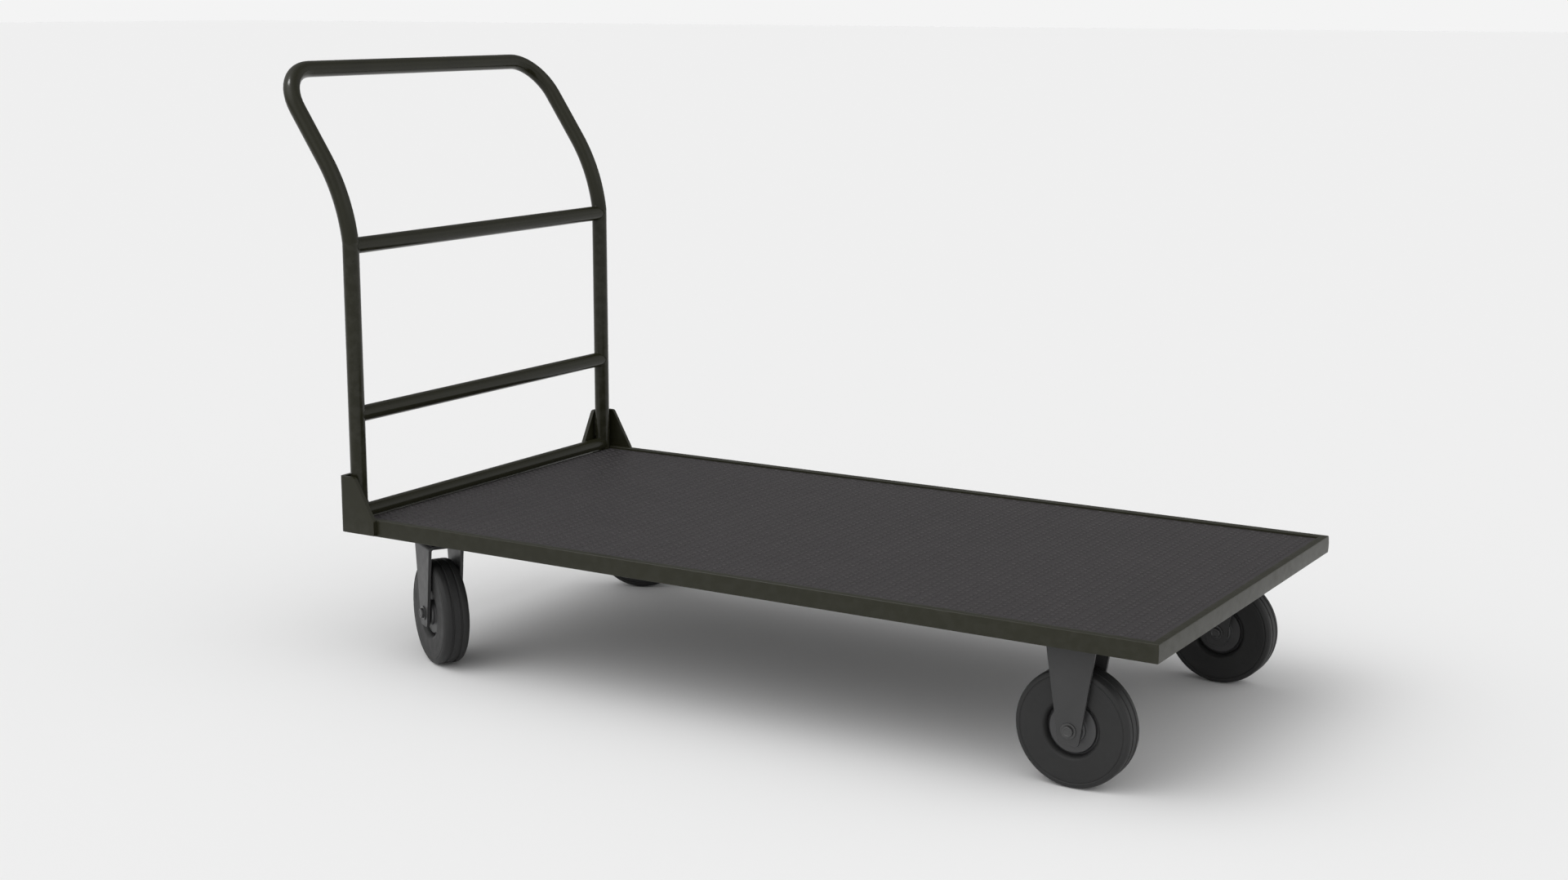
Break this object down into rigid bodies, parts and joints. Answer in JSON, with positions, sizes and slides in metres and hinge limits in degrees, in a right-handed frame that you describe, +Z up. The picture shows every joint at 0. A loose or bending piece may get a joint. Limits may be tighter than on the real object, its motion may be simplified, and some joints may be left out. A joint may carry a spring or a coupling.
{
  "type": "flatbed platform truck",
  "caption": "Flat steel platform truck with a raised rim, a bent push bow on braced uprights, fixed wheels at the free end and swivel wheels at the handle end.",
  "frame": {"origin": "floor level, centre of the footprint of the whole truck", "axes": "+X to the free end of the deck, away from the handle; +Z up"},
  "size_m": [1.8069, 0.844, 1.1285],
  "materials": {
    "frame_paint": "dark olive gloss paint",
    "tread_paint": "dark grey anti-slip pattern",
    "handle_paint": "dark olive-brown gloss paint",
    "caster_grey": "satin grey",
    "fastener_steel": "satin",
    "hub_plastic": "matt",
    "tyre_rubber": "matt"
  },
  "bodies": {
    "chassis": {"rail_near": "frame_paint", "rail_far": "frame_paint", "rail_end": "frame_paint", "sill_handle": "frame_paint", "deck_sheet": "tread_paint", "cross_members": "frame_paint", "bearer_handle": "frame_paint", "bearer_end": "frame_paint", "bracket_near": "handle_paint", "bracket_far": "handle_paint", "corner_feet": "frame_paint", "upright_near": "handle_paint", "upright_far": "handle_paint", "crossbar_base": "handle_paint", "crossbar_lower": "handle_paint", "crossbar_upper": "handle_paint", "push_bow": "handle_paint", "upright_welds": "handle_paint", "caster_bolts": "fastener_steel", "caster_nuts": "fastener_steel", "swivel_plate_near": "caster_grey", "swivel_plate_far": "caster_grey", "kingpin_near": "fastener_steel", "kingpin_far": "fastener_steel", "fixed_plate_near": "caster_grey", "fixed_plate_far": "caster_grey", "fixed_fork_near": "caster_grey", "fixed_fork_far": "caster_grey", "axle_fn": "fastener_steel", "axle_ff": "fastener_steel", "nut_fn": "fastener_steel", "nut_ff": "fastener_steel", "rings_fn": "fastener_steel", "rings_ff": "fastener_steel"},
    "swivel_near": {"swivel_fork_near": "caster_grey", "swivel_balls_near": "fastener_steel", "axle_sn": "fastener_steel", "nut_sn": "fastener_steel", "rings_sn": "fastener_steel"},
    "swivel_far": {"swivel_fork_far": "caster_grey", "swivel_balls_far": "fastener_steel", "axle_sf": "fastener_steel", "nut_sf": "fastener_steel", "rings_sf": "fastener_steel"},
    "wheel_fn": {"hub_fn": "hub_plastic", "bearings_fn": "fastener_steel", "tyre_fn": "tyre_rubber"},
    "wheel_ff": {"hub_ff": "hub_plastic", "bearings_ff": "fastener_steel", "tyre_ff": "tyre_rubber"},
    "wheel_sn": {"hub_sn": "hub_plastic", "bearings_sn": "fastener_steel", "tyre_sn": "tyre_rubber"},
    "wheel_sf": {"hub_sf": "hub_plastic", "bearings_sf": "fastener_steel", "tyre_sf": "tyre_rubber"}
  },
  "joints": [
    {"name": "swivel_near_turn", "type": "hinge", "parent": "chassis", "child": "swivel_near", "pos_m": [-0.60653, -0.318, 0.24], "axis": [0, 0, 1], "continuous": true},
    {"name": "swivel_far_turn", "type": "hinge", "parent": "chassis", "child": "swivel_far", "pos_m": [-0.60653, 0.318, 0.24], "axis": [0, 0, 1], "continuous": true},
    {"name": "wheel_fn_spin", "type": "hinge", "parent": "chassis", "child": "wheel_fn", "pos_m": [0.73647, -0.3315, 0.1], "axis": [0, 1, 0], "continuous": true},
    {"name": "wheel_ff_spin", "type": "hinge", "parent": "chassis", "child": "wheel_ff", "pos_m": [0.73647, 0.3315, 0.1], "axis": [0, 1, 0], "continuous": true},
    {"name": "wheel_sn_spin", "type": "hinge", "parent": "swivel_near", "child": "wheel_sn", "pos_m": [-0.5759, -0.33692, 0.1], "axis": [0.5255, 0.8508, 0], "continuous": true},
    {"name": "wheel_sf_spin", "type": "hinge", "parent": "swivel_far", "child": "wheel_sf", "pos_m": [-0.5739, 0.33321, 0.1], "axis": [-0.4226, 0.9063, 0], "continuous": true}
  ]
}
